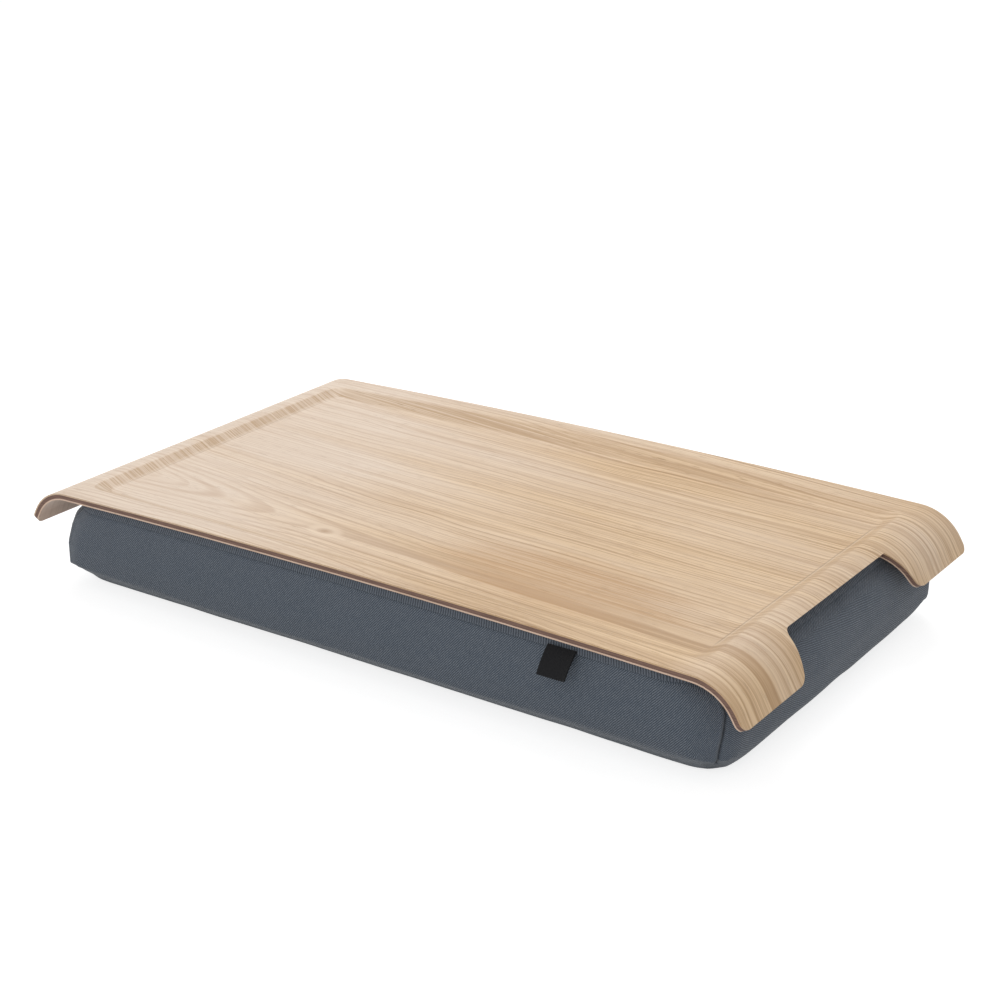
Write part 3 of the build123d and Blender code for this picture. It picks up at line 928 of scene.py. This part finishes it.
# The bead bag
# A plain lining bag full of small polystyrene beads, closed all round and loose inside the cover. The beads
# press through the thin cloth as fine pebbles.


def smooth_and_paint(piece, material):
    """Smooth shading and a material."""
    select_only(piece)
    bpy.ops.object.shade_smooth()
    piece.data.materials.append(material)


bag = stuffed_form("bead_bag", 0.0048, 0.0455)
apply_modifier(bag, "REMESH", **cloth_grid)
apply_modifier(bag, "SUBSURF", **once_rounded)
bag_inside_cover = 0.005
bag_slack = 0.0008
bag_flat_slack = 0.0006
bead_height = 0.0005
normals = [vertex.normal.copy() for vertex in bag.data.vertices]
for vertex, normal in zip(bag.data.vertices, normals):
    point = vertex.co
    gap, outward = outline_gap(point.x, point.y, *form_sizes(point.z))
    inward = outward * max(gap + bag_inside_cover, 0.0)
    over_flat = bag_flat_slack if point.z > 0.040 or point.z < 0.004 else 0.0
    beads = noise.noise(point * 260.0)
    lift = bead_height * beads - bag_slack - over_flat
    vertex.co = point - Vector((inward.x, inward.y, 0)) + normal * lift
lining, tree = material_with_nodes("white_lining")
lining_place = place_node(tree, "ShaderNodeTexCoord").outputs["Object"]
bead_bumps = place_node(
    tree, "ShaderNodeTexVoronoi", {"feature": "SMOOTH_F1"}, Vector=lining_place, Scale=330.0
).outputs["Distance"]
lining_threads = speckle(tree, lining_place, 2400.0, 1.0)
white = colour_mix(tree, lining_threads, (0.62, 0.61, 0.58, 1), (0.78, 0.77, 0.74, 1))
finish_surface(tree, white, 0.9, bead_bumps, 0.0008, 0.8)
smooth_and_paint(bag, lining)
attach(bag, "cushion")
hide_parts("inner_bag", "bead_filling")

# The hem
# The cover's top edge is gathered on elastic into a narrow ribbed band of the same slate cloth, sewn on
# just under the tray. Its upper edge turns in towards the cushion, out of sight.
rib_pitch = 0.00145
rib_height = 0.00020
hem_height = 0.0052
hem_top_drop = 0.0042
hem_stands_out = 0.0006


def outline_point(turn_share, half_length, half_width, corner):
    """A point of the rounded outline at a share of the way round, and the way out there."""
    straight_x, straight_y = half_length - corner, half_width - corner
    quarter = math.pi * corner / 2
    lengths = [2 * straight_x, quarter, 2 * straight_y, quarter] * 2
    way = turn_share * sum(lengths)
    leg = 0
    while way > lengths[leg] and leg < 7:
        way -= lengths[leg]
        leg += 1
    side, on_corner = divmod(leg, 2)
    corners = ((-1, -1), (1, -1), (1, 1), (-1, 1))
    x_sign, y_sign = corners[(side + on_corner) % 4]
    angle = (side - 1) * math.pi / 2 + on_corner * way / corner
    out = Vector((math.cos(angle), math.sin(angle)))
    point = Vector((x_sign * straight_x, y_sign * straight_y)) + out * corner
    if not on_corner:
        point += Vector((-out.y, out.x)) * way
    bowed_x = point.x * (1 - cushion_bow / half_length * (point.y / half_width) ** 2)
    bowed_y = point.y * (1 - cushion_bow / half_width * (point.x / half_length) ** 2)
    return Vector((bowed_x, bowed_y)), out


hem_half_length, hem_half_width, hem_corner = form_sizes(hem_level)
hem_girth = 4 * (hem_half_length + hem_half_width - 2 * hem_corner) + 2 * math.pi * hem_corner
rib_count = round(hem_girth / rib_pitch)
hem_columns = 5 * rib_count
hem_row_step = 0.001
hem = new_piece(bpy.ops.mesh.primitive_circle_add, "cushion_hem_band", vertices=hem_columns, radius=0.2)

# For each row: its share of the way up, how many millimetres it lies in, and how strong its ribs are
hem_rows = (
    (0.0, 0.0, 0.35),
    (0.10, -0.2, 0.9),
    (0.30, -0.05, 1.0),
    (0.55, 0.0, 1.0),
    (0.80, 0.05, 0.9),
    (0.95, 0.35, 0.6),
    (1.0, 0.9, 0.3),
    (0.99, 1.6, 0.1),
    (0.90, 2.2, 0.0),
    (0.5, 2.5, 0.0),
    (-0.1, 2.5, 0.0),
)
bpy.ops.object.mode_set(mode="EDIT")
bpy.ops.mesh.select_all(action="SELECT")
for row in hem_rows[1:]:
    bpy.ops.mesh.extrude_edges_move(TRANSFORM_OT_translate={"value": (0, 0, hem_row_step)})
bpy.ops.object.mode_set(mode="OBJECT")
hem_places = {}
by_row = [[] for row in hem_rows]
for vertex in hem.data.vertices:
    by_row[round(vertex.co.z / hem_row_step)].append(vertex)
for (up_share, depth_mm, rib_share), vertices in zip(hem_rows, by_row):
    vertices.sort(key=lambda vertex: math.atan2(vertex.co.x, -vertex.co.y) % (2 * math.pi))
    for count, vertex in enumerate(vertices):
        turn = count / hem_columns
        low_x = outline_point(turn, hem_half_length, hem_half_width, hem_corner)[0].x
        foot = under_arch(low_x, hem_line_drop)
        high = under_arch(low_x, hem_top_drop)
        height = foot + (high - foot) * up_share
        point, out = outline_point(turn, *form_sizes(height))
        wander = noise.noise(Vector((turn * 900, 0, 0))) * 0.14
        rib = math.cos((turn * rib_count + wander) * 2 * math.pi)
        strength = 0.8 + 0.6 * noise.noise(Vector((turn * 300, 4, 0)))
        point = point + out * (rib_height * rib * rib_share * strength - depth_mm * 0.001 + hem_stands_out)
        vertex.co = (point.x, point.y, height)
        hem_places[vertex.index] = ((turn * rib_count + wander) * rib_pitch, up_share * hem_height)
bpy.ops.object.mode_set(mode="EDIT")
bpy.ops.mesh.select_all(action="SELECT")
bpy.ops.mesh.normals_make_consistent(inside=False)
bpy.ops.object.mode_set(mode="OBJECT")
hem_map = hem.data.uv_layers.new(name="cloth_place")
for face in hem.data.polygons:
    ways = [hem_places[index] for index in face.vertices]
    closing = max(way[0] for way in ways) - min(way[0] for way in ways) > 0.5 * hem_girth
    for corner, way in zip(face.loop_indices, ways):
        along = way[0] + (rib_count * rib_pitch if closing and way[0] < 0.5 * hem_girth else 0.0)
        hem_map.data[corner].uv = (along, way[1])

# Ribbed hem cloth: the slate cloth drawn into upright ribs, with a painted highlight on their backs and
# painted shade between them
ribbed_cloth, tree = material_with_nodes("slate_ribbed_hem")
place = place_node(tree, "ShaderNodeUVMap", {"uv_map": "cloth_place"}).outputs[0]
rib_spot = place_node(tree, "ShaderNodeSeparateXYZ", Vector=place).outputs
rib_turn = times(tree, rib_spot[0], 2 * math.pi / rib_pitch)
rib_back = scaled(tree, reckon(tree, "COSINE", rib_turn), 0.5, 0.5)
fluff = speckle(tree, place, 1400.0, 2.0)
# The rib wave gives both the relief and the painted light and shade of the ribs.
rib_height_and_painted_shade = times(tree, rib_back, scaled(tree, fluff, 0.8, 0.5))
ribbed_with_painted_shade = colour_mix(tree, fade(tree, rib_height_and_painted_shade, 0.1, 0.9), (0.046, 0.057, 0.074, 1), (0.125, 0.146, 0.178, 1))
finish_surface(tree, ribbed_with_painted_shade, 0.9, rib_height_and_painted_shade, 0.00025, 0.7, Sheen_Weight=0.2)
smooth_and_paint(hem, ribbed_cloth)
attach(hem, "cushion")
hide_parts("hem_band")

# The label tab
# A short black woven ribbon, folded double and caught in the front hem seam. It hangs a little away from
# the cover, and is left bare.
label_ribbon, tree = material_with_nodes("black_label_ribbon")
ribbon_spot = place_parts(tree)
weft = wave(tree, times(tree, ribbon_spot[2], 3300.0))
warp = wave(tree, times(tree, ribbon_spot[0], 2400.0))
threads = times(tree, weft, scaled(tree, warp, 0.6, 0.4))
black = colour_mix(tree, threads, (0.003, 0.003, 0.004, 1), (0.012, 0.012, 0.013, 1))
finish_surface(tree, black, 0.75, threads, 0.00012, 0.8, Specular_IOR_Level=0.2)

label_x = 0.132
label_width = 0.0162
label_drop = 0.0155
label_top_y = -0.1247
label_top_z = under_arch(label_x, 0.0072)
label_lean = math.radians(40)
label_belly = 0.0007
label_curl = 0.0009
layer_gap = 0.0006
label = new_piece(
    bpy.ops.mesh.primitive_grid_add, "hem_label_tab", x_subdivisions=24, y_subdivisions=60, size=1
)
for vertex in label.data.vertices:
    across, way = vertex.co.x + 0.5, 1.0 - 2.0 * vertex.co.y
    down = 1.0 - abs(1.0 - way)
    from_fold = min(abs(1.0 - way) * label_drop / (0.5 * layer_gap), 1.0)
    layer = math.copysign(0.5 * layer_gap * math.sqrt(1 - (1 - from_fold) ** 2), 1.0 - way)
    curl = label_curl * max(across - 0.75, 0.0) ** 2 * 16 * (0.4 + down)
    off = label_belly * math.sin(math.pi * down) + curl + layer
    vertex.co = (
        label_x + (across - 0.5) * label_width,
        label_top_y - down * label_drop * math.sin(label_lean) - off * math.cos(label_lean),
        label_top_z - down * label_drop * math.cos(label_lean) + off * math.sin(label_lean),
    )
apply_modifier(label, "SOLIDIFY", thickness=0.00035, offset=0)
bpy.ops.object.shade_smooth_by_angle(angle=math.radians(40))
label.data.materials.append(label_ribbon)
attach(label, "cushion")
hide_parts("label_tab")

# The zip
# A coil zip set in the back panel: two herringbone tapes, their coils sewn on along the split, two metal
# stops, and a nickel slider with its pull. The slot's edges are turned in over a welt and stitched down.
tape_cloth, tree = material_with_nodes("zip_tape_herringbone")
spot = place_parts(tree)
zigzag = reckon(tree, "PINGPONG", spot[2], 0.0011)
tape_rib = wave(tree, times(tree, plus(tree, spot[0], zigzag), 1500.0))
tape_blue = colour_mix(tree, tape_rib, (0.022, 0.028, 0.038, 1), (0.062, 0.076, 0.098, 1))
finish_surface(tree, tape_blue, 0.85, tape_rib, 0.00015, 0.8)
paint_nodes(tape_cloth, "zip_tape_upper", "zip_tape_lower")

nickel, tree = material_with_nodes("zip_nickel")
polish = speckle(tree, place_node(tree, "ShaderNodeTexCoord").outputs["Object"], 1800.0, 3.0)
roughness = scaled(tree, polish, 0.25, 0.2)
finish_surface(tree, (0.62, 0.61, 0.59, 1), roughness, polish, 0.00003, 0.5, Metallic=1.0)
paint_nodes(nickel, "zip_stops", "zip_slider", "zip_pull")


def plain_material(name, colour, roughness, grain_scale, grain_height):
    """One colour with a fine unevenness."""
    made, tree = material_with_nodes(name)
    grain = speckle(tree, place_node(tree, "ShaderNodeTexCoord").outputs["Object"], grain_scale, 2.0)
    dark, light = (tuple(part * share for part in colour) + (1,) for share in (0.7, 1.3))
    mottled = colour_mix(tree, grain, dark, light)
    finish_surface(tree, mottled, roughness, grain, grain_height, 0.7)
    return made


def repeat_in_row(piece, count, step):
    """Repeats a small piece in a straight row."""
    apply_modifier(
        piece,
        "ARRAY",
        count=count,
        use_relative_offset=False,
        use_constant_offset=True,
        constant_offset_displace=step,
    )


coil_plastic = plain_material("zip_coil_plastic", (0.035, 0.043, 0.056), 0.4, 900.0, 0.00003)
tooth_pitch = 0.0013
tooth_count = 200
tooth_radius = 0.00068
tooth_wire_radius = 0.00026
coil_half_width = 0.00135
coil_meshed = 0.0001
coil_y = 0.1233
tooth_lean = 12
for side, word in ((1, "upper"), (-1, "lower")):
    teeth = plain_shape(
        bpy.ops.mesh.primitive_torus_add,
        "zip_teeth_" + word,
        (coil_half_width / (tooth_radius + tooth_wire_radius), 1.0, 1.0),
        major_segments=14,
        minor_segments=6,
        major_radius=tooth_radius,
        minor_radius=tooth_wire_radius,
        location=(
            -tooth_pitch * (tooth_count - 1 + 0.5 * side) / 2,
            coil_y,
            zip_height + side * (coil_half_width - coil_meshed),
        ),
        rotation=(0, math.radians(90 + tooth_lean * side), 0),
    )
    repeat_in_row(teeth, tooth_count, (tooth_pitch, 0, 0))
    smooth_and_paint(teeth, coil_plastic)
    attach(teeth, "cushion")
    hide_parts("zip_coil_" + word)

welt_cloth = plain_material("slate_welt", (0.085, 0.10, 0.125), 0.9, 1600.0, 0.0001)
stitch_thread = plain_material("slate_thread", (0.085, 0.10, 0.125), 0.7, 3000.0, 0.00003)
welt_y = 0.1254
welt_off_slot = 0.0002
stitch_y = 0.1262
stitch_off_slot = 0.0028
stitch_pitch = 0.0030
stitch_count = 87
for side, word in ((1, "upper"), (-1, "lower")):
    welt = plain_shape(
        bpy.ops.mesh.primitive_cylinder_add,
        "zip_welt_" + word,
        vertices=12,
        radius=0.0008,
        depth=2 * zip_half_length + 0.001,
        location=(0, welt_y, zip_height + side * (zip_slot_half_height + welt_off_slot)),
        rotation=(0, math.radians(90), 0),
    )
    apply_modifier(welt, "BEVEL", width=0.0003)
    smooth_and_paint(welt, welt_cloth)
    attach(welt, "cushion")

    stitches = plain_shape(
        bpy.ops.mesh.primitive_uv_sphere_add,
        "zip_topstitch_" + word,
        (2.2, 0.45, 0.5),
        segments=8,
        ring_count=6,
        radius=0.0005,
        location=(
            -stitch_pitch * (stitch_count - 1) / 2,
            stitch_y,
            zip_height + side * (zip_slot_half_height + stitch_off_slot),
        ),
    )
    repeat_in_row(stitches, stitch_count, (stitch_pitch, 0, 0))
    smooth_and_paint(stitches, stitch_thread)
    for vertex in stitches.data.vertices:
        vertex.co.y -= cushion_bow * (vertex.co.x / cushion_half_length) ** 2
    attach(stitches, "cushion")

# The fixings
# Hook tape glued under the tray's floor and loop tape sewn on the cover's top, black, face to face: a woven
# ground with smooth edges and a field of tufts in staggered rows.
fixing_x = 0.125
fixing_half_width = 0.0125
fixing_half_length = 0.090
ground_thickness = 0.0005
tuft_pitch = 0.0017
tufts_across = 13
tufts_along = 103
hook_ground = plain_material("black_hook_tape", (0.012, 0.012, 0.013), 0.6, 1500.0, 0.0001)
loop_ground = plain_material("black_loop_tape", (0.016, 0.016, 0.017), 0.9, 1100.0, 0.0002)
for kind, ground_z, tuft_z, tuft_turn, ground, body in (
    ("hook", 0.05145, 0.05103, 90, hook_ground, "tray"),
    ("loop", 0.04935, 0.04965, 30, loop_ground, "cushion"),
):
    for side, word in ((-1, "left"), (1, "right")):
        strip = plain_shape(
            bpy.ops.mesh.primitive_cube_add,
            kind + "_ground_" + word,
            (2 * fixing_half_width, 2 * fixing_half_length, ground_thickness),
            size=1,
            location=(side * fixing_x, 0, ground_z),
        )
        apply_modifier(strip, "BEVEL", width=0.0002)
        strip.data.materials.append(ground)
        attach(strip, body)
        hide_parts(kind + "_strip_" + word)

        tufts = plain_shape(
            bpy.ops.mesh.primitive_torus_add,
            kind + "_tufts_" + word,
            major_segments=8,
            minor_segments=4,
            major_radius=0.00042,
            minor_radius=0.00012,
            location=(
                side * fixing_x - tuft_pitch * (tufts_across - 1) / 2,
                -tuft_pitch * (tufts_along - 1) / 2,
                tuft_z,
            ),
            rotation=(math.radians(90), 0, math.radians(tuft_turn)),
        )
        repeat_in_row(tufts, tufts_across, (tuft_pitch, 0.3 * tuft_pitch, 0))
        repeat_in_row(tufts, tufts_along, (0, tuft_pitch, 0))
        smooth_and_paint(tufts, ground)
        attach(tufts, body)
